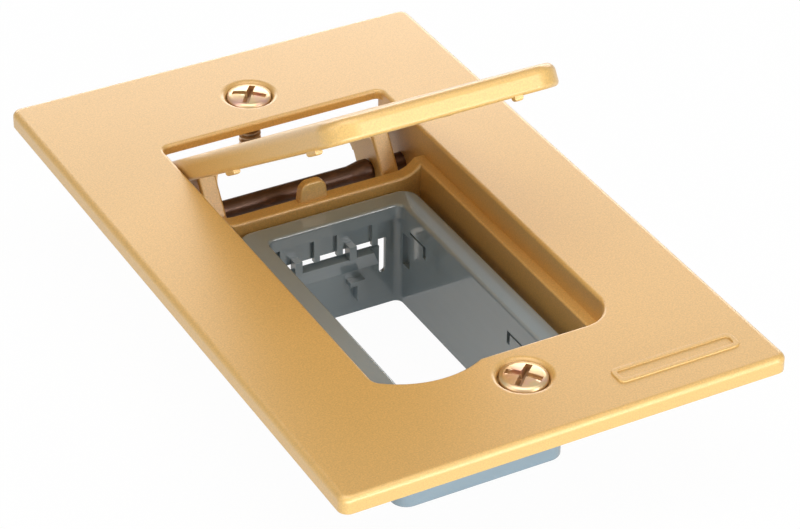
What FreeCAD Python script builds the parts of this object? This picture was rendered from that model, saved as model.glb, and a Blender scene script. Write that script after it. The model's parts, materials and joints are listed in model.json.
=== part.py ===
import FreeCAD, Part

import math
import os

# Floor outlet plate: a cast cover plate with a hinged lid over a frame for wiring modules.
# Millimetres. +X is to the right, +Y towards the hinge, +Z out of the floor.
# The origin is midway between the two fixing screws, on the plate's underside.
# A "depth" is measured down from the plate's top face.

# Opening of the frame, for two wiring modules side by side along Y
aperture_width = 22.7
aperture_length = 45.0
aperture_corner = 1.2

# Module frame round that opening
frame_side_border = 3.85
frame_rear_border = 3.9
frame_front_border = 1.5
frame_head_height = 4.8
frame_corner = 3.0
frame_edge_round = 0.9
frame_lip_round = 0.5
flange_thickness = 1.5
box_side_wall = 2.45
box_rear_wall = 1.3
box_front_wall = 0.8
box_height = 11.7
box_corner = 2.5
box_bottom_round = 0.3

# Gaps left round the frame inside the well
frame_side_gap = 1.8
frame_front_gap = 0.8
frame_bar_gap = 0.3

# Walls of the well, and the step in them under the lid
well_wall = 1.5
ledge_width = 1.75
ledge_round = 0.3
cheek_overrun = 0.55

# Cross bar behind the frame, with its upright tab
bar_thickness = 2.2
bar_below_ledge = 1.6
bar_above_frame = 1.4
bar_round = 0.5
tab_centre = -0.85
tab_width = 5.0
tab_taper = 0.5
tab_thickness = 1.3
tab_height = 3.1
tab_round = 1.6
tab_edge_round = 0.35

# Cover plate
plate_side_border = 15.85
plate_height = 2.6
plate_corner_radius = 1.5
plate_edge_round = 0.9
plate_skin = 1.5
plate_rim = 1.8
opening_front_radius = 5.0
opening_rear_radius = 1.2
opening_round = 0.55

# Scoop for a fingertip in the opening's front edge
scoop_from_side = 9.25
scoop_width = 12.6
scoop_reach = 1.5
scoop_blend = 2.0

# Hinge pin, staked into collars inside the lid's arms
pin_to_bar = 7.05
pin_to_opening_rear = 7.2
hinge_depth = 9.3
pin_radius = 1.6
pin_play = 0.05
collar_radius = 2.0
collar_length = 1.5
collar_lead = 2.2
collar_round = 0.5
collar_side_play = 0.1
seat_mouth = 2.4

# Lid
lid_gap = 0.3
lid_rear_gap = 1.2
lid_thickness = 3.5
lid_skin = 1.6
lid_rim = 1.6
lid_edge_round = 1.3
lid_bottom_round = 0.7
lid_rear_round = 1.6
lid_open_angle = 34.0

# Pads under the lid's rim, which stand over the ledge when it is closed
pad_height = 0.6
pad_clearance = 0.1
pad_length = 3.2
pad_width = 1.1
pad_round = 0.4
rear_pad_to_pin = 22.55
front_pad_to_opening = 8.85
nub_from_side = 8.5
nub_width = 1.3

# Arms of the lid
arm_from_side = 2.55
arm_thickness = 3.0
arm_front = 4.0
arm_back = 4.5
arm_drop = 3.6
arm_end_round = 3.0
arm_edge_round = 0.4
arm_root_round = 4.0

# Relief below the frame's collar
side_collar_height = 3.5
side_relief = 0.25
rear_collar_height = 2.4
rear_relief = 0.7

# Snap tongue, ribs and struts in the frame's rear wall
rib_width = 1.0
rib_left_faces = (-9.2, -3.5, 0.4, 6.4)
rib_length = 3.8
window_below_collar = 3.4
tongue_slot = 1.1
window_depth = 6.2
tongue_width = 16.0
tongue_below_window = 1.3
tongue_nose = 1.3
tongue_nose_height = 3.2
tongue_nose_chamfer = 1.6
strut_width = 1.2
strut_left_faces = (-7.1, 2.1)
strut_length = 1.4
strut_proud = 1.6
stem_left = 3.6
stem_width = 1.4
stem_proud = 1.3
stem_below_tongue = 4.4
stem_length = 3.6
stem_head_width = 2.6
stem_head_height = 0.8

# Clip slits and guide slots in the frame's side walls
rear_clip_inset = 4.8
front_clip_inset = 10.9
clip_width = 5.0
clip_height = 2.2
clip_slit = 0.4
clip_leg = 0.8
clip_below_rim = 3.9
guide_slot_width = 2.2
guide_slot_height = 5.6
guide_slot_inset = 0.25
guide_slot_below_rim = 5.2
guide_slot_cut = 0.8

# Posts that are headed over to hold the frame
post_radius = 1.0
post_clearance = 0.1
post_head_radius = 1.5
post_head_height = 0.7
rear_post_to_bar = 3.5
front_post_to_wall = 5.0

# Fixing screws, which stand in the plate's ends
screw_to_opening_front = 6.25
screw_to_opening_rear = 8.05
screw_to_end = 13.0
screw_length = 10.0
screw_radius = 1.75
screw_neck_radius = 1.5
screw_hole_play = 0.2
screw_head_radius = 3.4
screw_recess_play = 0.25
screw_recess_depth = 1.45
screw_boss_wall = 1.55
screw_dome = 0.4
screw_rim_depth = 0.15
screw_recess_round = 0.9
drive_width = 1.0
drive_span = 5.3
drive_depth = 1.2
drive_angle_front = 42.0
drive_angle_rear = 52.0

# Raised border of the small blank panel on the plate
panel_from_side = 14.2
panel_from_front = 6.75
panel_length = 19.6
panel_width = 3.4
panel_border = 0.8
panel_height = 0.2
panel_corner = 1.0
panel_round = 0.18

# Reach of a cutting body past the face that it cuts
over = 1.0

up = FreeCAD.Vector(0, 0, 1)


def level(depth):
    """Height of a depth below the plate's top face."""
    return plate_height - depth


def block(x0, x1, y0, y1, z0, z1):
    return Part.makeBox(x1 - x0, y1 - y0, z1 - z0, FreeCAD.Vector(x0, y0, z0))


def post(x, y, z0, z1, radius):
    return Part.makeCylinder(radius, z1 - z0, FreeCAD.Vector(x, y, z0), up)


def rod(x0, x1, y, z, radius):
    """A round bar along X."""
    return Part.makeCylinder(radius, x1 - x0, FreeCAD.Vector(x0, y, z), FreeCAD.Vector(1, 0, 0))


def rounded_block(x0, x1, y0, y1, z0, z1, front, rear):
    """A block with its upright edges rounded: front radius at low y, rear radius at high y."""
    solid = block(x0, x1, y0, y1, z0, z1)
    for y, radius in ((y0, front), (y1, rear)):
        if radius > 0:
            edges = [e for e in solid.Edges if is_upright(e) and abs(e.CenterOfMass.y - y) < radius / 2]
            solid = solid.makeFillet(radius, edges)
    return solid


def is_upright(edge):
    box = edge.BoundBox
    return box.ZLength > 1e-6 and box.XLength < 1e-6 and box.YLength < 1e-6


def edges_at_height(solid, z):
    return [e for e in solid.Edges if e.BoundBox.ZLength < 1e-6 and abs(e.BoundBox.ZMin - z) < 1e-6]


def edges_inside(solid, x, y, z):
    """Edges whose bounds lie inside a box given as three (low, high) pairs."""
    found = []
    for edge in solid.Edges:
        b = edge.BoundBox
        if x[0] <= b.XMin and b.XMax <= x[1] and y[0] <= b.YMin and b.YMax <= y[1]:
            if z[0] <= b.ZMin and b.ZMax <= z[1]:
                found.append(edge)
    return found


def prism_along_x(points, x0, x1):
    """A prism whose section is a polygon of (y, z) points."""
    corners = [FreeCAD.Vector(x0, y, z) for y, z in points]
    face = Part.Face(Part.makePolygon(corners + corners[:1]))
    return face.extrude(FreeCAD.Vector(x1 - x0, 0, 0))


# Half widths, from the frame's opening outwards
aperture_x = aperture_width / 2
frame_x = aperture_x + frame_side_border
lower_x = frame_x + frame_side_gap
opening_x = lower_x + ledge_width
well_x = opening_x + well_wall
plate_x = opening_x + plate_side_border
box_x = aperture_x + box_side_wall
post_x = (lower_x + well_x) / 2
lid_x = opening_x - lid_gap
arm_outer = opening_x - arm_from_side
arm_inner = arm_outer - arm_thickness

# Places along Y, from the front screw to the rear one, which stand evenly about the origin
aperture_to_front = ledge_width + frame_front_gap + frame_front_border
aperture_to_rear = frame_rear_border + frame_bar_gap + bar_thickness + pin_to_bar + pin_to_opening_rear
opening_length = aperture_to_front + aperture_length + aperture_to_rear
screw_spacing = screw_to_opening_front + opening_length + screw_to_opening_rear
screw_y = screw_spacing / 2
plate_y = screw_y + screw_to_end
opening_front = -screw_y + screw_to_opening_front
opening_rear = screw_y - screw_to_opening_rear
well_front = opening_front - well_wall
lower_front = opening_front + ledge_width
frame_front = lower_front + frame_front_gap
aperture_front = frame_front + frame_front_border
aperture_rear = aperture_front + aperture_length
frame_rear = aperture_rear + frame_rear_border
bar_front = frame_rear + frame_bar_gap
bar_rear = bar_front + bar_thickness
hinge_y = bar_rear + pin_to_bar
cheek_rear = opening_rear + cheek_overrun
box_front = aperture_front - box_front_wall
box_rear = aperture_rear + box_rear_wall
relief_rear = aperture_rear + rear_relief
post_rows = (bar_front - rear_post_to_bar, lower_front + front_post_to_wall)
clip_centres = (aperture_rear - rear_clip_inset, aperture_front + front_clip_inset)

# Depths below the plate's top face, and the heights of the frame's features
ledge_depth = lid_thickness + pad_height + pad_clearance
bar_depth = ledge_depth + bar_below_ledge
frame_depth = bar_depth + bar_above_frame
well_depth = frame_depth + frame_head_height
hinge_z = level(hinge_depth)
flange_top = level(well_depth)
flange_bottom = flange_top - flange_thickness
box_bottom = flange_bottom - box_height
frame_top = level(frame_depth)
rear_collar_end = frame_top - rear_collar_height
window_top = rear_collar_end - window_below_collar
tongue_top = window_top - tongue_below_window
hinge_point = FreeCAD.Vector(0, hinge_y, hinge_z)
screw_recess_radius = screw_head_radius + screw_recess_play


def scoop(z0, z1, offset):
    """The part of the scoop's cylinder that lies at the front of the opening."""
    radius = (scoop_width ** 2 / 4 + scoop_reach ** 2) / (2 * scoop_reach)
    x = -opening_x + scoop_from_side
    side = opening_x + offset
    reach = opening_front + opening_front_radius
    return post(x, opening_front - scoop_reach + radius, z0, z1, radius + offset).common(
        block(-side, x + radius, opening_front - radius, reach, z0, z1))


def with_scoop(outline, z0, z1, offset):
    """An outline joined to the scoop, with the corner between them rounded."""
    joined = outline.fuse(scoop(z0, z1, offset)).removeSplitter()
    side = -opening_x - offset
    corner = [e for e in joined.Edges if is_upright(e) and abs(e.CenterOfMass.x - side) < 1e-3
              and e.CenterOfMass.y < opening_front + opening_front_radius]
    return joined.makeFillet(scoop_blend + offset, corner)


def opening_prism(z0, z1):
    """The opening's outline, straight down."""
    outline = rounded_block(-opening_x, opening_x, opening_front, opening_rear, z0, z1,
                            opening_front_radius, opening_rear_radius)
    return with_scoop(outline, z0, z1, 0)


def bar_relief():
    """The space over the cross bar, whose floor sweeps up to the ledges at both ends."""
    rise = bar_below_ledge
    run = ledge_width + rise
    radius = (run ** 2 + rise ** 2) / (2 * rise)
    low, high = level(bar_depth), level(ledge_depth)
    turn = math.asin(run / radius) / 2
    y = bar_front - over
    arcs = []
    for side in (-1, 1):
        start = FreeCAD.Vector(side * (lower_x - run), y, low)
        middle = FreeCAD.Vector(side * (lower_x - run + radius * math.sin(turn)), y,
                                low + radius * (1 - math.cos(turn)))
        arcs.append(Part.Arc(start, middle, FreeCAD.Vector(side * lower_x, y, high)))
    left, right = arcs
    wire = Part.Wire([
        Part.LineSegment(left.StartPoint, right.StartPoint).toShape(),
        right.toShape(),
        Part.LineSegment(right.EndPoint, left.EndPoint).toShape(),
        left.toShape(),
    ])
    return Part.Face(wire).extrude(FreeCAD.Vector(0, bar_thickness + 2 * over, 0))


def make_tab():
    """The upright tab, narrower and rounded at its top."""
    half = tab_width / 2
    foot = level(bar_depth) - bar_round
    top = level(bar_depth) + tab_height
    y = bar_rear - tab_thickness
    corners = [FreeCAD.Vector(tab_centre - half, y, foot), FreeCAD.Vector(tab_centre + half, y, foot),
               FreeCAD.Vector(tab_centre + half - tab_taper, y, top),
               FreeCAD.Vector(tab_centre - half + tab_taper, y, top)]
    face = Part.Face(Part.makePolygon(corners + corners[:1]))
    tab = face.extrude(FreeCAD.Vector(0, tab_thickness, 0))
    sides = [e for e in edges_at_height(tab, top) if e.BoundBox.YLength > 1e-6]
    tab = tab.makeFillet(tab_round, sides)
    front = [e for e in tab.Edges if e.BoundBox.YMax < y + 1e-6 and e.BoundBox.ZMax > foot + 1e-6]
    return tab.makeFillet(tab_edge_round, front)


def pin_seat():
    """Round seats for the pin in both cheeks, with a narrower mouth open downwards."""
    seat = rod(-well_x - over, well_x + over, hinge_y, hinge_z, pin_radius + pin_play)
    mouth = block(-well_x - over, well_x + over, hinge_y - seat_mouth / 2, hinge_y + seat_mouth / 2,
                  flange_top - over, hinge_z)
    return seat.fuse(mouth)


def make_shell():
    """The plate's skin with its turned-down rim, and everything that hangs from it."""
    shell = rounded_block(-plate_x, plate_x, -plate_y, plate_y, 0, plate_height,
                          plate_corner_radius, plate_corner_radius)
    shell = shell.makeFillet(plate_edge_round, edges_at_height(shell, plate_height))
    skin_under = level(plate_skin)
    x, y = plate_x - plate_rim, plate_y - plate_rim
    shell = shell.cut(block(-x, x, -y, y, -over, skin_under))
    walls = rounded_block(-well_x, well_x, well_front, bar_rear, flange_top, skin_under,
                          opening_front_radius + well_wall, 0)
    walls = with_scoop(walls, flange_top, skin_under, well_wall)
    cheeks = block(-well_x, well_x, bar_rear, cheek_rear, flange_top, skin_under)
    boss_radius = screw_recess_radius + screw_boss_wall
    bosses = [post(0, row, 0, skin_under, boss_radius) for row in (-screw_y, screw_y)]
    return shell.fuse([walls, cheeks] + bosses)


def cut_well(plate):
    """Cuts the opening, the step under it, the well and the space behind the cross bar."""
    low, high = level(ledge_depth), plate_height + over
    behind_bar = block(-opening_x, opening_x, bar_rear, cheek_rear + over, flange_top - over,
                       level(plate_skin))
    well = rounded_block(-lower_x, lower_x, lower_front, bar_front, flange_top - over, low,
                         opening_front_radius - ledge_width, 0)
    plate = plate.cut([opening_prism(low, high), behind_bar, well, bar_relief()])
    near = 1e-3
    top_rim = edges_inside(plate, (-opening_x - near, opening_x + near),
                           (opening_front - scoop_reach - near, opening_rear + near),
                           (plate_height - near, plate_height + near))
    plate = plate.makeFillet(opening_round, top_rim)
    bar_edge = edges_inside(plate, (-lower_x, lower_x), (bar_front - near, bar_front + near),
                            (level(bar_depth) - near, level(bar_depth) + near))
    plate = plate.makeFillet(bar_round, bar_edge)
    ledge_edge = edges_inside(plate, (-lower_x - near, lower_x + near),
                              (lower_front - near, bar_front + near), (low - near, low + near))
    return plate.makeFillet(ledge_round, ledge_edge)


def cut_screw_seat(plate, row):
    """Cuts one screw's hole and its flat-bottomed recess, with the recess's rim rounded."""
    recess = post(0, row, level(screw_recess_depth), plate_height + over, screw_recess_radius)
    hole = post(0, row, -over, plate_height, screw_radius + screw_hole_play)
    plate = plate.cut([recess, hole])
    mouth = [e for e in edges_at_height(plate, plate_height)
             if abs(e.BoundBox.XLength - 2 * screw_recess_radius) < 1e-3
             and abs(e.CenterOfMass.y - row) < 1e-3]
    return plate.makeFillet(screw_recess_round, mouth)


def make_frame_posts():
    """Posts under the well's walls, headed over below the frame's flange."""
    posts = []
    for row in post_rows:
        for x in (-post_x, post_x):
            posts.append(post(x, row, flange_bottom, flange_top, post_radius))
            posts.append(post(x, row, flange_bottom - post_head_height, flange_bottom, post_head_radius))
    return posts


def make_panel_border():
    x = plate_x - panel_from_side
    y = -plate_y + panel_from_front
    x0, x1 = x - panel_length / 2, x + panel_length / 2
    y0, y1 = y - panel_width / 2, y + panel_width / 2
    low, high = plate_height - panel_height, plate_height + panel_height
    outer = rounded_block(x0, x1, y0, y1, low, high, panel_corner, panel_corner)
    b = panel_border
    r = panel_corner - b / 2
    border = outer.cut(rounded_block(x0 + b, x1 - b, y0 + b, y1 - b, low - over, high + over, r, r))
    return border.makeFillet(panel_round, edges_at_height(border, high))


def make_cover_plate():
    plate = cut_well(make_shell()).fuse(make_tab())
    for row in (-screw_y, screw_y):
        plate = cut_screw_seat(plate, row)
    plate = plate.cut(pin_seat())
    return plate.fuse(make_frame_posts() + [make_panel_border()]).removeSplitter()


def make_arm(side):
    """One arm of the lid, drawn with the lid closed."""
    x0, x1 = sorted((side * arm_inner, side * arm_outer))
    low = hinge_z - arm_drop
    arm = block(x0, x1, hinge_y - arm_front, hinge_y + arm_back, low, level(lid_skin))
    arm = arm.makeFillet(arm_end_round, [e for e in edges_at_height(arm, low) if e.BoundBox.XLength > 1e-6])
    arm = arm.makeFillet(arm_edge_round, [e for e in arm.Edges if is_upright(e)])
    return arm.fuse(make_arm_root(side))


def make_arm_root(side):
    """The concave fillet between an arm's inner side and the underside of the lid's skin."""
    y = hinge_y - arm_front + arm_edge_round
    length = arm_back + arm_front - arm_edge_round
    x, z = side * (arm_inner - arm_root_round), level(lid_skin) - arm_root_round
    x0, x1 = sorted((x, side * (arm_inner + arm_edge_round)))
    corner = block(x0, x1, y, y + length, z, level(lid_skin))
    return corner.cut(Part.makeCylinder(arm_root_round, length, FreeCAD.Vector(x, y, z),
                                        FreeCAD.Vector(0, 1, 0)))


def make_tray():
    """The lid's top, closed, with its rounded rear edge and its turned-down rim."""
    y0, y1 = opening_front + lid_gap, opening_rear - lid_rear_gap
    under = level(lid_thickness)
    front_radius = opening_front_radius - lid_gap
    tray = rounded_block(-lid_x, lid_x, y0, y1, under, plate_height, front_radius, 0)
    rear_top = [e for e in edges_at_height(tray, plate_height) if e.BoundBox.YMin > y1 - 1e-3]
    tray = tray.makeFillet(lid_rear_round, rear_top)
    for z, radius in ((plate_height, lid_edge_round), (under, lid_bottom_round)):
        rim = [e for e in edges_at_height(tray, z) if e.BoundBox.YMin < y1 - 2 * lid_rear_round]
        tray = tray.makeFillet(radius, rim)
    r = lid_rim
    return tray.cut(rounded_block(-lid_x + r, lid_x - r, y0 + r, y1 - r, under - over,
                                  level(lid_skin), front_radius - r, 0))


def make_pad(x, y, x_size, y_size):
    """One pad under the rim, with its lower edges rounded."""
    under = level(lid_thickness)
    low = under - pad_height
    pad = block(x - x_size / 2, x + x_size / 2, y - y_size / 2, y + y_size / 2, low,
                under + lid_bottom_round)
    return pad.makeFillet(pad_round, edges_at_height(pad, low))


def make_pads():
    """Two long pads under the left rim, one under the right, and a short nub under the front."""
    x = lid_x - lid_rim / 2
    rear_row = hinge_y - rear_pad_to_pin
    front_row = opening_front + front_pad_to_opening
    pads = [make_pad(x, rear_row, pad_width, pad_length)]
    for row in (rear_row, front_row):
        pads.append(make_pad(-x, row, pad_width, pad_length))
    y = opening_front + lid_gap + lid_rim / 2
    pads.append(make_pad(opening_x - nub_from_side, y, nub_width, pad_width))
    return pads


def make_lid():
    """The lid is drawn closed and then turned about the pin to the angle that it stands at."""
    lid = make_tray().fuse(make_pads() + [make_arm(-1), make_arm(1)])
    bore = rod(-arm_outer - over, arm_outer + over, hinge_y, hinge_z, pin_radius + pin_play)
    lid = lid.cut(bore).removeSplitter()
    lid.rotate(hinge_point, FreeCAD.Vector(-1, 0, 0), lid_open_angle)
    return lid


def make_hinge_pin():
    """The pin, with a swelled collar beside the right arm."""
    pin = rod(-well_x, well_x, hinge_y, hinge_z, pin_radius)
    outer = arm_inner - collar_side_play
    inner = outer - collar_length
    collar = rod(inner, outer, hinge_y, hinge_z, collar_radius)
    collar = collar.makeFillet(collar_round, [e for e in collar.Edges if e.BoundBox.XMin > outer - 1e-3])
    lead = Part.makeCone(pin_radius, collar_radius, collar_lead,
                         FreeCAD.Vector(inner - collar_lead, hinge_y, hinge_z), FreeCAD.Vector(1, 0, 0))
    return pin.fuse([collar, lead]).removeSplitter()


def make_tongue_nose():
    """The wedge along the top of the snap tongue, with its two ends cut off at an angle."""
    half = tongue_width / 2
    foot = tongue_top - tongue_nose_height
    nose = prism_along_x([(relief_rear, tongue_top), (relief_rear - tongue_nose, tongue_top),
                          (relief_rear, foot)], -half, half)
    y = relief_rear + over
    for side in (-1, 1):
        corner = Part.makePolygon([
            FreeCAD.Vector(side * half, y, tongue_top),
            FreeCAD.Vector(side * (half - tongue_nose_chamfer), y, tongue_top),
            FreeCAD.Vector(side * half, y, foot),
            FreeCAD.Vector(side * half, y, tongue_top)])
        nose = nose.cut(Part.Face(corner).extrude(FreeCAD.Vector(0, -tongue_nose - 2 * over, 0)))
    return nose


def rear_wall_details():
    """What stands in the rear wall's relief: ribs, struts, the tongue's nose and its stem."""
    added = [make_tongue_nose()]
    for left in rib_left_faces:
        added.append(block(left, left + rib_width, aperture_rear, relief_rear,
                           rear_collar_end - rib_length, rear_collar_end))
    for left in strut_left_faces:
        added.append(block(left, left + strut_width, relief_rear - strut_proud, relief_rear,
                           window_top - strut_length, window_top + rib_width))
    y0 = relief_rear - stem_proud
    top = tongue_top - stem_below_tongue
    right = stem_left + stem_width
    added.append(block(stem_left, right, y0, relief_rear, top - stem_length, top))
    added.append(block(right - stem_head_width, right, y0, relief_rear, top - stem_head_height, top))
    return added


def rear_window():
    """The slit over the snap tongue and the slots at its two ends."""
    y0, y1 = aperture_rear - over, box_rear + over
    inner = tongue_width / 2
    outer = inner + tongue_slot
    cuts = [block(-outer, outer, y0, y1, tongue_top, window_top)]
    radius = tongue_slot / 2
    foot = window_top - window_depth + radius
    for side in (-1, 1):
        x0, x1 = sorted((side * inner, side * outer))
        cuts.append(block(x0, x1, y0, y1, foot, window_top))
        cuts.append(Part.makeCylinder(radius, y1 - y0, FreeCAD.Vector((x0 + x1) / 2, y0, foot),
                                      FreeCAD.Vector(0, 1, 0)))
    return cuts


def side_clips():
    """An angled slit round each spring clip in the side walls, and a guide slot by the rear corner."""
    cuts = []
    top = frame_top - clip_below_rim
    y1 = aperture_rear - guide_slot_inset
    z1 = frame_top - guide_slot_below_rim
    for side in (-1, 1):
        inner = aperture_x - over
        x0, x1 = sorted((side * inner, side * (box_x + over)))
        for centre, way in zip(clip_centres, (-1, 1)):
            low, high = centre - clip_width / 2, centre + clip_width / 2
            end = centre + way * clip_width / 2
            leg_low, leg_high = sorted((end, end - way * clip_leg))
            cuts.append(block(x0, x1, low, high, top - clip_slit, top))
            cuts.append(block(x0, x1, leg_low, leg_high, top - clip_height, top))
        x0, x1 = sorted((side * inner, side * (aperture_x + side_relief + guide_slot_cut)))
        cuts.append(block(x0, x1, y1 - guide_slot_width, y1, z1 - guide_slot_height, z1))
    return cuts


def frame_outside():
    """The frame's rounded head, the flange under the well's walls and the box below it."""
    head = rounded_block(-frame_x, frame_x, frame_front, frame_rear, flange_top, frame_top,
                         frame_corner, frame_corner)
    head = head.makeFillet(frame_edge_round, edges_at_height(head, frame_top))
    flange = rounded_block(-well_x, well_x, well_front, bar_rear, flange_bottom, flange_top,
                           opening_front_radius + well_wall, 0)
    box = rounded_block(-box_x, box_x, box_front, box_rear, box_bottom, flange_bottom,
                        box_corner, box_corner)
    box = box.makeFillet(box_bottom_round, edges_at_height(box, box_bottom))
    return head.fuse([flange, box])


def frame_inside():
    """The modules' passage, a little wider below the collar at its mouth."""
    bottom = box_bottom - over
    mouth = rounded_block(-aperture_x, aperture_x, aperture_front, aperture_rear, bottom,
                          frame_top + over, aperture_corner, aperture_corner)
    wide = aperture_x + side_relief
    sides = rounded_block(-wide, wide, aperture_front, relief_rear, bottom,
                          frame_top - side_collar_height, aperture_corner, aperture_corner)
    rear = rounded_block(-aperture_x, aperture_x, aperture_rear - over - aperture_corner, relief_rear,
                         bottom, rear_collar_end, 0, aperture_corner)
    return [mouth, sides, rear]


def make_module_frame():
    frame = frame_outside().cut(frame_inside() + rear_window())
    frame = frame.fuse(rear_wall_details()).cut(side_clips())
    near = 1e-3
    lip = edges_inside(frame, (-aperture_x - near, aperture_x + near),
                       (aperture_front - near, aperture_rear + near),
                       (frame_top - near, frame_top + near))
    frame = frame.makeFillet(frame_lip_round, lip)
    holes = [post(x, row, flange_bottom - over, flange_top + over, post_radius + post_clearance)
             for row in post_rows for x in (-post_x, post_x)]
    return frame.cut(holes).removeSplitter()


def make_screw(row, drive_angle):
    """A cross-slotted fixing screw: low domed head, neck inside the plate, and shank below it."""
    seat = level(screw_recess_depth)
    rim = level(screw_rim_depth)
    crown = rim + screw_dome
    head = post(0, row, seat, rim, screw_head_radius)
    sphere_radius = (screw_head_radius ** 2 + screw_dome ** 2) / (2 * screw_dome)
    ball = Part.makeSphere(sphere_radius, FreeCAD.Vector(0, row, crown - sphere_radius))
    dome = ball.common(post(0, row, rim, crown + over, screw_head_radius))
    neck = post(0, row, 0, seat, screw_neck_radius)
    shank = post(0, row, seat - screw_length, 0, screw_radius)
    screw = head.fuse([dome, neck, shank])
    half = drive_width / 2
    for turn in (0, 90):
        slot = prism_along_x([(-half, crown + over), (half, crown + over),
                              (half, crown - drive_depth / 2), (half / 2, crown - drive_depth),
                              (-half / 2, crown - drive_depth), (-half, crown - drive_depth / 2)],
                             -drive_span / 2, drive_span / 2)
        slot.translate(FreeCAD.Vector(0, row, 0))
        slot.rotate(FreeCAD.Vector(0, row, 0), up, turn + drive_angle)
        screw = screw.cut(slot)
    return screw.removeSplitter()


parts = {
    "cover_plate": make_cover_plate(),
    "lid": make_lid(),
    "hinge_pin": make_hinge_pin(),
    "module_frame": make_module_frame(),
    "screw_front": make_screw(-screw_y, drive_angle_front),
    "screw_rear": make_screw(screw_y, drive_angle_rear),
}

os.makedirs("parts", exist_ok=True)
for name, shape in parts.items():
    shape.exportStep("parts/" + name + ".step")
    box = shape.BoundBox
    print(name, "solids", len(shape.Solids), "valid", shape.isValid(), "volume", round(shape.Volume, 1),
          "y", round(box.YMin, 2), round(box.YMax, 2), "z", round(box.ZMin, 2), round(box.ZMax, 2))
print("screws", round(screw_spacing, 2), "apart; plate", round(2 * plate_x, 2), "by", round(2 * plate_y, 2))
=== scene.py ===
"""Dresses the floor outlet plate: paint, moulding, pin and screws, with a studio round it."""

import json
import math

import bmesh
import bpy
from mathutils import Matrix, Vector


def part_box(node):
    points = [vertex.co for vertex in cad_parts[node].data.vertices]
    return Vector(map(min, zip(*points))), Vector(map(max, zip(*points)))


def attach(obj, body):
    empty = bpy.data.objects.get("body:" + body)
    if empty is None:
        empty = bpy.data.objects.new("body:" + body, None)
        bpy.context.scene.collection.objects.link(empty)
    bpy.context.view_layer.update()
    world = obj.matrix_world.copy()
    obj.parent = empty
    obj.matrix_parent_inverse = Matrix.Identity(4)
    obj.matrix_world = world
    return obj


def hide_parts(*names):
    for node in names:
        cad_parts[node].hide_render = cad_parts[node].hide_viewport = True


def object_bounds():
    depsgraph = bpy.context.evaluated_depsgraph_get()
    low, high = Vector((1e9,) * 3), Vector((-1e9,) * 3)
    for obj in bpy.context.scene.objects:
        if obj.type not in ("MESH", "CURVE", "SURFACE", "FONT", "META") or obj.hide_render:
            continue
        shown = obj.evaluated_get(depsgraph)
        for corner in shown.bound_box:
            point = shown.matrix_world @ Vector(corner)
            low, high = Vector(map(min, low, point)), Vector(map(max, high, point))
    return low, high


bl_info = {
    "name": "Floor Outlet Plate",
    "version": (1, 0, 0),
    "blender": (4, 5, 0),
    "location": "View3D > Sidebar > Outlet",
    "description": "Finishes and small parts of a floor outlet plate with a hinged lid",
    "category": "Object",
}

MM = 0.001

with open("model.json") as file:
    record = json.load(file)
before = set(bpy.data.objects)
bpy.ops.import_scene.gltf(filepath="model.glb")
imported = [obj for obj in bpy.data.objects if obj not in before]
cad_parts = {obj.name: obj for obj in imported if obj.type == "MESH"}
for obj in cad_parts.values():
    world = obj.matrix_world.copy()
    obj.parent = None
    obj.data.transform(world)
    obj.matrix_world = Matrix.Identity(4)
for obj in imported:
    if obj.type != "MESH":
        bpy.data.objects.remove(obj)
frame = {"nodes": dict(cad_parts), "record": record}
CAD_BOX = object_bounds()
NODES = frame["nodes"]
BODY = {name: body for body, names in frame["record"]["behaviour"]["bodies"].items()
        for name in names}

# Fixed sizes of the screws
TIP_BAND = 0.1 * MM  # band at the shank's end that its radius is read from
MERGE = 0.001 * MM  # points closer than this become one
THREAD_MERGE = 0.0005 * MM
CUT_HEIGHT = 0.05 * MM  # where the smooth neck ends and the threaded shank starts
POINT_TAPER = 0.6 * MM  # height of the bevel at the screw's end
CORE_STEPS = 32
THREAD_STEPS = 24  # in one turn
THREAD_SUNK = 0.05 * MM  # how deep the ridge's foot stands in the core
RIDGE_FOOT = 0.42  # half the ridge's width at its foot, as a share of the pitch
RIDGE_CREST = 0.06  # half its width at the crest
SHADE_FULL_BELOW = 1.2 * MM  # under the screw's top: the painted shade is full from here down
UNSHADED_ABOVE = 0.5 * MM  # and gone from here up

# Fixed values of the studio
CAMERA_TARGET = Vector((-1.992, -10.601, 2.6)) * MM
CAMERA_WHITE = 0.97  # share of plain white in the floor for the camera
MIRRORED_WHITE = 0.35  # and in reflections
WORLD_LIGHT = 0.1  # strength of the world's light on the part
WORLD_MIRRORED = 0.45  # share of full white in what surfaces reflect
FLOOR_HALF = 3.0  # metres from the floor's middle to its edge
TABLE_LIFT = 0.05  # millimetres from the floor to the light table


# Values that a user would change


class OutletFinish(bpy.types.PropertyGroup):
    paint_colour: bpy.props.StringProperty(
        name="Paint colour", description="Gold paint of the plate and the lid, as an sRGB hex value",
        default="D3A65C")
    paint_roughness: bpy.props.FloatProperty(
        name="Paint roughness", description="How matt the gold paint is", default=0.5, min=0, max=1,
        subtype="FACTOR")
    plastic_colour: bpy.props.StringProperty(
        name="Plastic colour", description="Grey of the module frame, as an sRGB hex value",
        default="89959A")
    plastic_roughness: bpy.props.FloatProperty(
        name="Plastic roughness", description="How matt the grey moulding is", default=0.11, min=0,
        max=1, subtype="FACTOR")
    pin_colour: bpy.props.StringProperty(
        name="Pin colour", description="Brown of the hinge pin, as an sRGB hex value", default="5A4338")
    screw_colour: bpy.props.StringProperty(
        name="Screw colour", description="Yellow passivated zinc of the screws, as an sRGB hex value",
        default="E6C596")


class OutletScrew(bpy.types.PropertyGroup):
    thread_pitch: bpy.props.FloatProperty(
        name="Thread pitch", description="Distance from one turn of the thread to the next",
        default=0.8 * MM, unit="LENGTH", precision=5)
    thread_depth: bpy.props.FloatProperty(
        name="Thread depth", description="Height of the thread over the screw's core",
        default=0.4 * MM, unit="LENGTH", precision=5)


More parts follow.
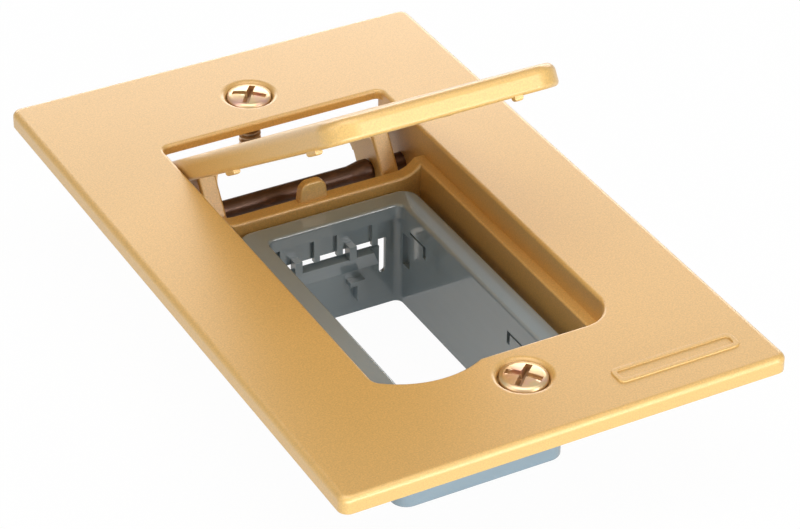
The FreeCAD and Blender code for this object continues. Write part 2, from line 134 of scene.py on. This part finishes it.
class OutletStudio(bpy.types.PropertyGroup):
    lens: bpy.props.FloatProperty(
        name="Focal length", description="Camera's focal length in millimetres", default=138.98)
    distance: bpy.props.FloatProperty(
        name="Camera distance", description="From the camera to the point that it looks at",
        default=440.65 * MM, unit="LENGTH", precision=5)
    azimuth: bpy.props.FloatProperty(
        name="Camera azimuth", description="Turn of the view about the upright axis",
        default=math.radians(-29.051), subtype="ANGLE", unit="ROTATION")
    elevation: bpy.props.FloatProperty(
        name="Camera elevation", description="How far the camera looks down",
        default=math.radians(33.809), subtype="ANGLE", unit="ROTATION")
    roll: bpy.props.FloatProperty(
        name="Camera roll", description="Tilt of the picture about the line of sight",
        default=math.radians(0.782), subtype="ANGLE", unit="ROTATION")
    floor_gap: bpy.props.FloatProperty(
        name="Floor gap", description="Space between the part's lowest point and the floor",
        default=0.2 * MM, unit="LENGTH", precision=5)


# Materials


def linear(code):
    """Linear colour of an sRGB hex value."""
    values = [int(code[i:i + 2], 16) / 255 for i in (0, 2, 4)]
    bent = tuple(v / 12.92 if v <= 0.04045 else ((v + 0.055) / 1.055) ** 2.4 for v in values)
    return bent + (1.0,)


def add(tree, kind, inputs=None, links=None, **settings):
    """Adds a node, gives it its settings and its sockets' values, and links what feeds it."""
    made = tree.nodes.new(kind)
    for name, value in settings.items():
        setattr(made, name, value)
    for socket, value in (inputs or {}).items():
        made.inputs[socket].default_value = value
    for socket, source in (links or {}).items():
        tree.links.new(source, made.inputs[socket])
    return made


def new_material(name):
    """An empty material and the output that its shader goes to."""
    material = bpy.data.materials.new(name)
    material.use_nodes = True
    tree = material.node_tree
    tree.nodes.clear()
    return material, tree


def per_metre(size_mm):
    """Noise scale that gives features of this size."""
    return 1 / (size_mm * MM)


def gold_paint(finish):
    """Satin gold metallic paint, sprayed and baked on a zinc casting.

    Its fine aluminium flake gives a soft sheen with a grain just short of visible, and the film
    has a slight orange peel.
    """
    material, tree = new_material("Satin gold metallic paint")
    place = add(tree, "ShaderNodeTexCoord").outputs["Object"]
    flake = add(tree, "ShaderNodeTexNoise", {"Scale": per_metre(0.22), "Detail": 2.0},
                {"Vector": place})
    cloud = add(tree, "ShaderNodeTexNoise", {"Scale": per_metre(9.0), "Detail": 3.0},
                {"Vector": place})
    peel = add(tree, "ShaderNodeTexNoise", {"Scale": per_metre(0.9), "Detail": 2.0},
               {"Vector": place})
    base = linear(finish.paint_colour)
    dark = tuple(v * 0.87 for v in base[:3]) + (1.0,)
    light = tuple(min(1.0, v * 1.12) for v in base[:3]) + (1.0,)
    spread = add(tree, "ShaderNodeMapRange", {"From Min": 0.3, "From Max": 0.7},
                 {"Value": flake.outputs["Fac"]})
    grain = add(tree, "ShaderNodeMix", {"A": dark, "B": light},
                {"Factor": spread.outputs["Result"]}, data_type="RGBA")
    rough = add(tree, "ShaderNodeMapRange", {"To Min": finish.paint_roughness - 0.03,
                                             "To Max": finish.paint_roughness + 0.04},
                {"Value": cloud.outputs["Fac"]})
    fine = add(tree, "ShaderNodeBump", {"Strength": 0.12, "Distance": 0.01 * MM},
               {"Height": flake.outputs["Fac"]})
    film = add(tree, "ShaderNodeBump", {"Strength": 0.12, "Distance": 0.03 * MM},
               {"Height": peel.outputs["Fac"], "Normal": fine.outputs["Normal"]})
    shader = add(tree, "ShaderNodeBsdfPrincipled",
                 {"Metallic": 0.25, "Coat Weight": 1.0, "Coat Roughness": 0.34, "Coat IOR": 1.5},
                 {"Base Color": grain.outputs["Result"], "Roughness": rough.outputs["Result"],
                  "Normal": film.outputs["Normal"]})
    add(tree, "ShaderNodeOutputMaterial", links={"Surface": shader.outputs["BSDF"]})
    return material


def grey_plastic(finish):
    """Glossy grey ABS, injection moulded in a polished tool.

    Faint flow lines change its tint and gloss a little, and fine scuffs roughen it.
    """
    material, tree = new_material("Glossy grey moulded ABS")
    place = add(tree, "ShaderNodeTexCoord").outputs["Object"]
    stretch = add(tree, "ShaderNodeMapping", {"Scale": (1.0, 1.0, 4.0)}, {"Vector": place})
    flow = add(tree, "ShaderNodeTexNoise", {"Scale": per_metre(6.0), "Detail": 3.0},
               {"Vector": stretch.outputs["Vector"]})
    grain = add(tree, "ShaderNodeTexNoise", {"Scale": per_metre(0.25), "Detail": 2.0},
                {"Vector": place})
    base = linear(finish.plastic_colour)
    dark = tuple(v * 0.92 for v in base[:3]) + (1.0,)
    tint = add(tree, "ShaderNodeMix", {"A": dark, "B": base}, {"Factor": flow.outputs["Fac"]},
               data_type="RGBA")
    rough = add(tree, "ShaderNodeMapRange", {"To Min": finish.plastic_roughness - 0.04,
                                             "To Max": finish.plastic_roughness + 0.08},
                {"Value": flow.outputs["Fac"]})
    bump = add(tree, "ShaderNodeBump", {"Strength": 0.06, "Distance": 0.01 * MM},
               {"Height": grain.outputs["Fac"]})
    shader = add(tree, "ShaderNodeBsdfPrincipled",
                 {"IOR": 1.54, "Coat Weight": 0.9, "Coat Roughness": 0.05},
                 {"Base Color": tint.outputs["Result"], "Roughness": rough.outputs["Result"],
                  "Normal": bump.outputs["Normal"]})
    add(tree, "ShaderNodeOutputMaterial", links={"Surface": shader.outputs["BSDF"]})
    return material


def brown_metal(finish):
    """Drawn wire with a dark brown patina, rubbed to a dull copper in small spots."""
    material, tree = new_material("Brown patinated wire")
    place = add(tree, "ShaderNodeTexCoord").outputs["Object"]
    along = add(tree, "ShaderNodeMapping", {"Scale": (0.5, 1.0, 1.0)}, {"Vector": place})
    spots = add(tree, "ShaderNodeTexNoise", {"Scale": per_metre(1.1), "Detail": 4.0},
                {"Vector": along.outputs["Vector"]})
    mask = add(tree, "ShaderNodeMapRange", {"From Min": 0.5, "From Max": 0.8, "To Max": 0.6},
               {"Value": spots.outputs["Fac"]})
    tint = add(tree, "ShaderNodeMix", {"A": linear(finish.pin_colour), "B": linear("8A6550")},
               {"Factor": mask.outputs["Result"]}, data_type="RGBA")
    bump = add(tree, "ShaderNodeBump", {"Strength": 0.15, "Distance": 0.02 * MM},
               {"Height": spots.outputs["Fac"]})
    shader = add(tree, "ShaderNodeBsdfPrincipled", {"Metallic": 0.6, "Roughness": 0.38},
                 {"Base Color": tint.outputs["Result"], "Normal": bump.outputs["Normal"]})
    add(tree, "ShaderNodeOutputMaterial", links={"Surface": shader.outputs["BSDF"]})
    return material


def yellow_zinc(finish, shade_full_height, unshaded_height):
    """Zinc plating with a yellow passivate, whose film drifts to pink and green in patches.

    A painted shade darkens it in the drive slots and on the shank, from just under the head's top down.
    """
    material, tree = new_material("Yellow passivated zinc")
    place = add(tree, "ShaderNodeTexCoord").outputs["Object"]
    drift = add(tree, "ShaderNodeTexNoise", {"Scale": per_metre(2.2), "Detail": 2.0},
                {"Vector": place})
    film = add(tree, "ShaderNodeValToRGB", links={"Fac": drift.outputs["Fac"]})
    ramp = film.color_ramp
    ramp.elements[0].position = 0.3
    ramp.elements[0].color = linear("E2B5A4")
    ramp.elements[1].position = 0.7
    ramp.elements[1].color = linear("DCC79C")
    ramp.elements.new(0.5).color = linear(finish.screw_colour)
    # Painted shade: under the head's top the colour darkens towards A88A6C, fully in the drive slots
    # and on the shank
    height = add(tree, "ShaderNodeSeparateXYZ", {}, {"Vector": place})
    unshaded = add(tree, "ShaderNodeMapRange", {"From Min": shade_full_height, "From Max": unshaded_height},
                {"Value": height.outputs["Z"]})
    tint = add(tree, "ShaderNodeMix", {"A": linear("A88A6C")},
               {"Factor": unshaded.outputs["Result"], "B": film.outputs["Color"]}, data_type="RGBA")
    grain = add(tree, "ShaderNodeTexNoise", {"Scale": per_metre(0.3), "Detail": 2.0},
                {"Vector": place})
    bump = add(tree, "ShaderNodeBump", {"Strength": 0.15, "Distance": 0.01 * MM},
               {"Height": grain.outputs["Fac"]})
    shader = add(tree, "ShaderNodeBsdfPrincipled", {"Metallic": 0.9, "Roughness": 0.36},
                 {"Base Color": tint.outputs["Result"], "Normal": bump.outputs["Normal"]})
    add(tree, "ShaderNodeOutputMaterial", links={"Surface": shader.outputs["BSDF"]})
    return material


def dress(names, material):
    """Gives the material to CAD nodes whose shape is kept."""
    for name in names:
        slots = NODES[name].data.materials
        slots.clear()
        slots.append(material)


# Pieces


def keep_piece(name, mesh_source, material, body, replaced):
    """Makes a piece of a bmesh, which stands for a CAD node and rides on its body."""
    bmesh.ops.recalc_face_normals(mesh_source, faces=mesh_source.faces)
    mesh = bpy.data.meshes.new(name)
    mesh_source.to_mesh(mesh)
    mesh_source.free()
    mesh.materials.append(material)
    piece = bpy.data.objects.new(name, mesh)
    bpy.context.scene.collection.objects.link(piece)
    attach(piece, body)
    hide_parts(replaced)
    return piece


def shank_radius(node, centre):
    """Radius of the CAD shank at its lower end."""
    points = [v.co for v in NODES[node].data.vertices]
    tip = min(p.z for p in points)
    return max(math.hypot(p.x - centre.x, p.y - centre.y) for p in points
               if p.z < tip + TIP_BAND)


def threaded_screw(node, pitch, depth):
    """The CAD screw with its shank cut off below the neck, and a threaded one in its place."""
    low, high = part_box(node)
    centre = (low + high) / 2
    outer = shank_radius(node, centre)
    core = outer - depth
    bm = bmesh.new()
    bm.from_mesh(NODES[node].data)
    bmesh.ops.remove_doubles(bm, verts=bm.verts, dist=MERGE)
    every = bm.verts[:] + bm.edges[:] + bm.faces[:]
    bmesh.ops.bisect_plane(bm, geom=every, dist=MERGE, plane_co=(0, 0, CUT_HEIGHT),
                           plane_no=(0, 0, 1), clear_inner=True)
    # Core and point
    tip = low.z
    start = tip + POINT_TAPER
    profile = [(0.0, tip), (core - POINT_TAPER / 2, tip), (core, start), (core, CUT_HEIGHT),
               (0.0, CUT_HEIGHT)]
    rod = [bm.verts.new((centre.x + r, centre.y, z)) for r, z in profile]
    edges = [bm.edges.new(pair) for pair in zip(rod, rod[1:])]
    bmesh.ops.spin(bm, geom=rod + edges, cent=(centre.x, centre.y, 0), axis=(0, 0, 1),
                   dvec=(0, 0, 0), angle=math.tau, steps=CORE_STEPS, use_merge=True)
    # Thread: a ridge wound round the core
    turns = int((-tip - POINT_TAPER) / pitch)
    foot = pitch * RIDGE_FOOT
    crest = pitch * RIDGE_CREST
    sunk = core - THREAD_SUNK
    ridge = [bm.verts.new((centre.x + r, centre.y, start + z)) for r, z in
             ((sunk, -foot), (outer, -crest), (outer, crest), (sunk, foot))]
    edges = [bm.edges.new(pair) for pair in zip(ridge, ridge[1:] + ridge[:1])]
    bmesh.ops.spin(bm, geom=ridge + edges, cent=(centre.x, centre.y, 0), axis=(0, 0, 1),
                   dvec=(0, 0, pitch / THREAD_STEPS), angle=math.tau * turns,
                   steps=THREAD_STEPS * turns, use_merge=False)
    bmesh.ops.holes_fill(bm, edges=[e for e in bm.edges if e.is_boundary], sides=8)
    bmesh.ops.remove_doubles(bm, verts=bm.verts, dist=THREAD_MERGE)
    return bm


# Operators


class OUTLET_OT_casting(bpy.types.Operator):
    """Paint the cover plate and the lid satin gold"""
    bl_idname = "outlet.casting"
    bl_label = "Gold Castings"

    def execute(self, context):
        dress(("cover_plate", "lid"), gold_paint(context.scene.outlet_finish))
        return {"FINISHED"}


class OUTLET_OT_moulding(bpy.types.Operator):
    """Give the module frame its glossy grey plastic"""
    bl_idname = "outlet.moulding"
    bl_label = "Grey Moulding"

    def execute(self, context):
        dress(("module_frame",), grey_plastic(context.scene.outlet_finish))
        return {"FINISHED"}


class OUTLET_OT_pin(bpy.types.Operator):
    """Give the hinge pin its brown patina"""
    bl_idname = "outlet.pin"
    bl_label = "Hinge Pin"

    def execute(self, context):
        dress(("hinge_pin",), brown_metal(context.scene.outlet_finish))
        return {"FINISHED"}


class OUTLET_OT_screws(bpy.types.Operator):
    """Make both fixing screws with their threads"""
    bl_idname = "outlet.screws"
    bl_label = "Fixing Screws"

    def execute(self, context):
        sizes = context.scene.outlet_screw
        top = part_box("screw_front")[1][2]
        zinc = yellow_zinc(context.scene.outlet_finish, top - SHADE_FULL_BELOW, top - UNSHADED_ABOVE)
        for node in ("screw_front", "screw_rear"):
            bm = threaded_screw(node, sizes.thread_pitch, sizes.thread_depth)
            keep_piece("threaded_" + node, bm, zinc, BODY[node], node)
        return {"FINISHED"}


class OUTLET_OT_stage(bpy.types.Operator):
    """Set up the floor, the lights, the world and the camera"""
    bl_idname = "outlet.stage"
    bl_label = "Studio"

    def execute(self, context):
        studio = context.scene.outlet_studio
        floor = CAD_BOX[0][2] - studio.floor_gap
        make_floor(floor)
        make_world(context.scene)
        make_lights(floor / MM + TABLE_LIFT)
        make_camera(context.scene, studio)
        return {"FINISHED"}


# Studio


def white_to_camera(tree, lit, share, mirrored):
    """Mixes a lit shader with plain white.

    One share of white is for the camera's own rays, and another for mirrored ones.
    """
    path = add(tree, "ShaderNodeLightPath")
    other = add(tree, "ShaderNodeMath", links={0: path.outputs["Is Glossy Ray"],
                                               1: path.outputs["Is Transmission Ray"]},
                operation="MAXIMUM")
    low = add(tree, "ShaderNodeMath", {1: mirrored}, {0: other.outputs["Value"]},
              operation="MULTIPLY")
    high = add(tree, "ShaderNodeMath", {1: share}, {0: path.outputs["Is Camera Ray"]},
               operation="MULTIPLY")
    part = add(tree, "ShaderNodeMath", links={0: low.outputs["Value"], 1: high.outputs["Value"]},
               operation="MAXIMUM")
    white = add(tree, "ShaderNodeEmission", {"Color": (1, 1, 1, 1), "Strength": 1.0})
    return add(tree, "ShaderNodeMixShader", links={"Fac": part.outputs["Value"], 1: lit,
                                                   2: white.outputs["Emission"]})


def make_floor(height):
    """A white floor that keeps the part's faint shadow."""
    material, tree = new_material("White studio floor")
    lit = add(tree, "ShaderNodeBsdfDiffuse", {"Color": linear("F2F2F0")})
    mixed = white_to_camera(tree, lit.outputs["BSDF"], CAMERA_WHITE, MIRRORED_WHITE)
    add(tree, "ShaderNodeOutputMaterial", links={"Surface": mixed.outputs["Shader"]})
    bm = bmesh.new()
    bmesh.ops.create_grid(bm, x_segments=1, y_segments=1, size=FLOOR_HALF,
                          matrix=Matrix.Translation((0, 0, height)))
    mesh = bpy.data.meshes.new("studio_floor")
    bm.to_mesh(mesh)
    bm.free()
    mesh.materials.append(material)
    floor = bpy.data.objects.new("studio_floor", mesh)
    bpy.context.scene.collection.objects.link(floor)


def make_world(scene):
    """A dim even light, which the camera sees as white and reflections as a part of white."""
    world = bpy.data.worlds.new("White studio")
    world.use_nodes = True
    tree = world.node_tree
    tree.nodes.clear()
    path = add(tree, "ShaderNodeLightPath")
    mirrored = add(tree, "ShaderNodeMath", {1: WORLD_MIRRORED}, {0: path.outputs["Is Glossy Ray"]},
                   operation="MULTIPLY")
    seen = add(tree, "ShaderNodeMath", links={0: path.outputs["Is Camera Ray"],
                                              1: mirrored.outputs["Value"]}, operation="MAXIMUM")
    level = add(tree, "ShaderNodeMix", {"A": WORLD_LIGHT, "B": 1.0},
                {"Factor": seen.outputs["Value"]}, data_type="FLOAT")
    sky = add(tree, "ShaderNodeBackground", {"Color": (1, 1, 1, 1)},
              {"Strength": level.outputs["Result"]})
    add(tree, "ShaderNodeOutputWorld", links={"Surface": sky.outputs["Background"]})
    scene.world = world


def make_lights(table):
    """Soft boxes and a light table that no reflection shows.

    Each has a name, a place, an aim and a size in millimetres, a power in watts and a tint.
    """
    white = (1.0, 1.0, 1.0)
    cool = (0.72, 0.87, 1.0)
    boxes = (
        ("top_box", (-100, -150, 750), (0, 0, 0), (900, 600), 4.7, white),
        ("back_box", (380, 720, 240), (0, 0, 0), (1000, 300), 4.0, white),
        ("low_box", (-60, -600, 25), (0, 0, -10), (900, 90), 4.6, cool),
        ("front_box", (320, -640, 380), (0, 0, 0), (280, 220), 1.4, white),
        ("left_box", (-600, -60, 330), (0, 0, 0), (400, 300), 0.8, white),
        ("light_table", (0, 0, table), (0, 0, 1000), (600, 600), 0.3, cool),
    )
    for name, place, aim, size, power, tint in boxes:
        lamp = bpy.data.lights.new(name, "AREA")
        lamp.shape = "RECTANGLE"
        lamp.size = size[0] * MM
        lamp.size_y = size[1] * MM
        lamp.energy = power
        lamp.color = tint
        box = bpy.data.objects.new(name, lamp)
        bpy.context.scene.collection.objects.link(box)
        spot = Vector(place) * MM
        box.visible_camera = False
        box.visible_glossy = name != "light_table"
        box.location = spot
        box.rotation_euler = (Vector(aim) * MM - spot).to_track_quat("-Z", "Y").to_euler()


def make_camera(scene, studio):
    """The photograph's view: a turn about the upright axis, a look down and a small roll."""
    az, el, roll = studio.azimuth, studio.elevation, studio.roll
    back = Vector((math.sin(az) * math.cos(el), -math.cos(az) * math.cos(el), math.sin(el)))
    right = Vector((math.cos(az), math.sin(az), 0))
    up = back.cross(right)
    rolled_right = right * math.cos(roll) + up * math.sin(roll)
    rolled_up = up * math.cos(roll) - right * math.sin(roll)
    turn = Matrix((rolled_right, rolled_up, back)).transposed()
    lens = bpy.data.cameras.new("photo_camera")
    lens.sensor_fit = "HORIZONTAL"
    lens.sensor_width = 36.0
    lens.lens = studio.lens
    lens.clip_start = 0.01
    lens.clip_end = 20.0
    camera = bpy.data.objects.new("photo_camera", lens)
    scene.collection.objects.link(camera)
    place = CAMERA_TARGET + back * studio.distance
    camera.matrix_world = Matrix.Translation(place) @ turn.to_4x4()
    scene.camera = camera
    scene.view_settings.view_transform = "Standard"


class OUTLET_PT_panel(bpy.types.Panel):
    """Lists the outlet plate's parts in the sidebar"""
    bl_idname = "OUTLET_PT_panel"
    bl_label = "Floor Outlet Plate"
    bl_space_type = "VIEW_3D"
    bl_region_type = "UI"
    bl_category = "Outlet"

    def draw(self, context):
        for pointer in GROUPS:
            group = getattr(context.scene, pointer)
            box = self.layout.box()
            for name in group.__annotations__:
                box.prop(group, name)
        for operator in OPERATORS:
            self.layout.operator(operator.bl_idname)


OPERATORS = (OUTLET_OT_casting, OUTLET_OT_moulding, OUTLET_OT_pin, OUTLET_OT_screws,
             OUTLET_OT_stage)
GROUPS = {"outlet_finish": OutletFinish, "outlet_screw": OutletScrew,
          "outlet_studio": OutletStudio}


def register():
    for name, group in GROUPS.items():
        bpy.utils.register_class(group)
        setattr(bpy.types.Scene, name, bpy.props.PointerProperty(type=group))
    for operator in OPERATORS:
        bpy.utils.register_class(operator)
    bpy.utils.register_class(OUTLET_PT_panel)


def unregister():
    bpy.utils.unregister_class(OUTLET_PT_panel)
    for operator in reversed(OPERATORS):
        bpy.utils.unregister_class(operator)
    for name, group in GROUPS.items():
        delattr(bpy.types.Scene, name)
        bpy.utils.unregister_class(group)


def main():
    register()
    bpy.ops.outlet.casting()
    bpy.ops.outlet.moulding()
    bpy.ops.outlet.pin()
    bpy.ops.outlet.screws()
    bpy.ops.outlet.stage()


if __name__ == "__main__":
    main()
